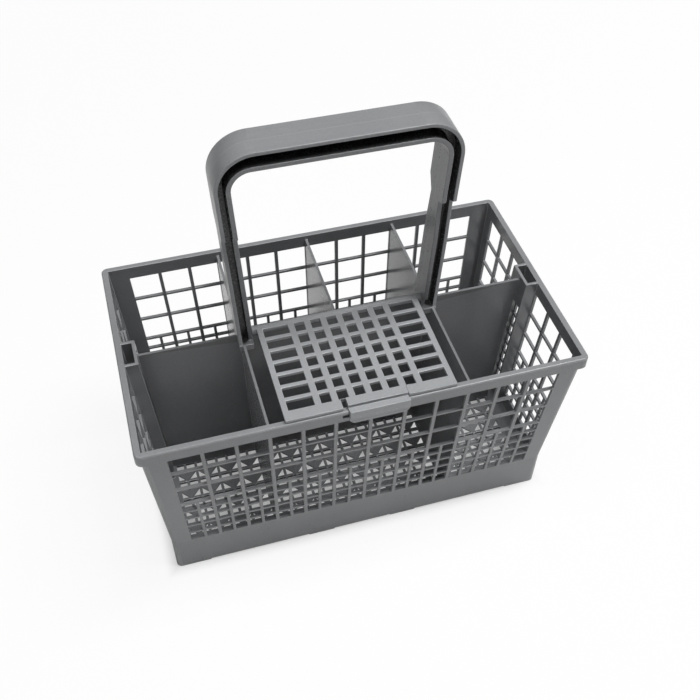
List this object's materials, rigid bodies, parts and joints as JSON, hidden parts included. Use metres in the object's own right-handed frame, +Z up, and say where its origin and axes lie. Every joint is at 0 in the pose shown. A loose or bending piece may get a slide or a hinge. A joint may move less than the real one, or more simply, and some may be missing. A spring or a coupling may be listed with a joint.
{
  "type": "dishwasher cutlery basket",
  "caption": "Rectangular openwork basket with upright compartments for cutlery, a clip-on arched carrying handle and a hinged grid lid with a front latch over the middle compartment.",
  "frame": {"origin": "centre of the basket's footprint, on the surface it stands on", "axes": "+X along the basket, +Y from the latch side to the back, +Z up"},
  "size_m": [0.24, 0.1407, 0.242],
  "materials": {
    "basket_plastic": "fine matt moulded polypropylene, mid grey",
    "handle_plastic": "fine matt moulded polypropylene, mid grey",
    "lid_plastic": "fine matt moulded polypropylene, mid grey"
  },
  "bodies": {
    "basket": {"basket_body": "basket_plastic", "handle": "handle_plastic"},
    "lid": {"lid": "lid_plastic"}
  },
  "joints": [
    {"name": "lid_hinge", "type": "hinge", "parent": "basket", "child": "lid", "pos_m": [0, -0.0015, 0.1217], "axis": [-1, 0, 0], "range_deg": [0, 175]}
  ]
}
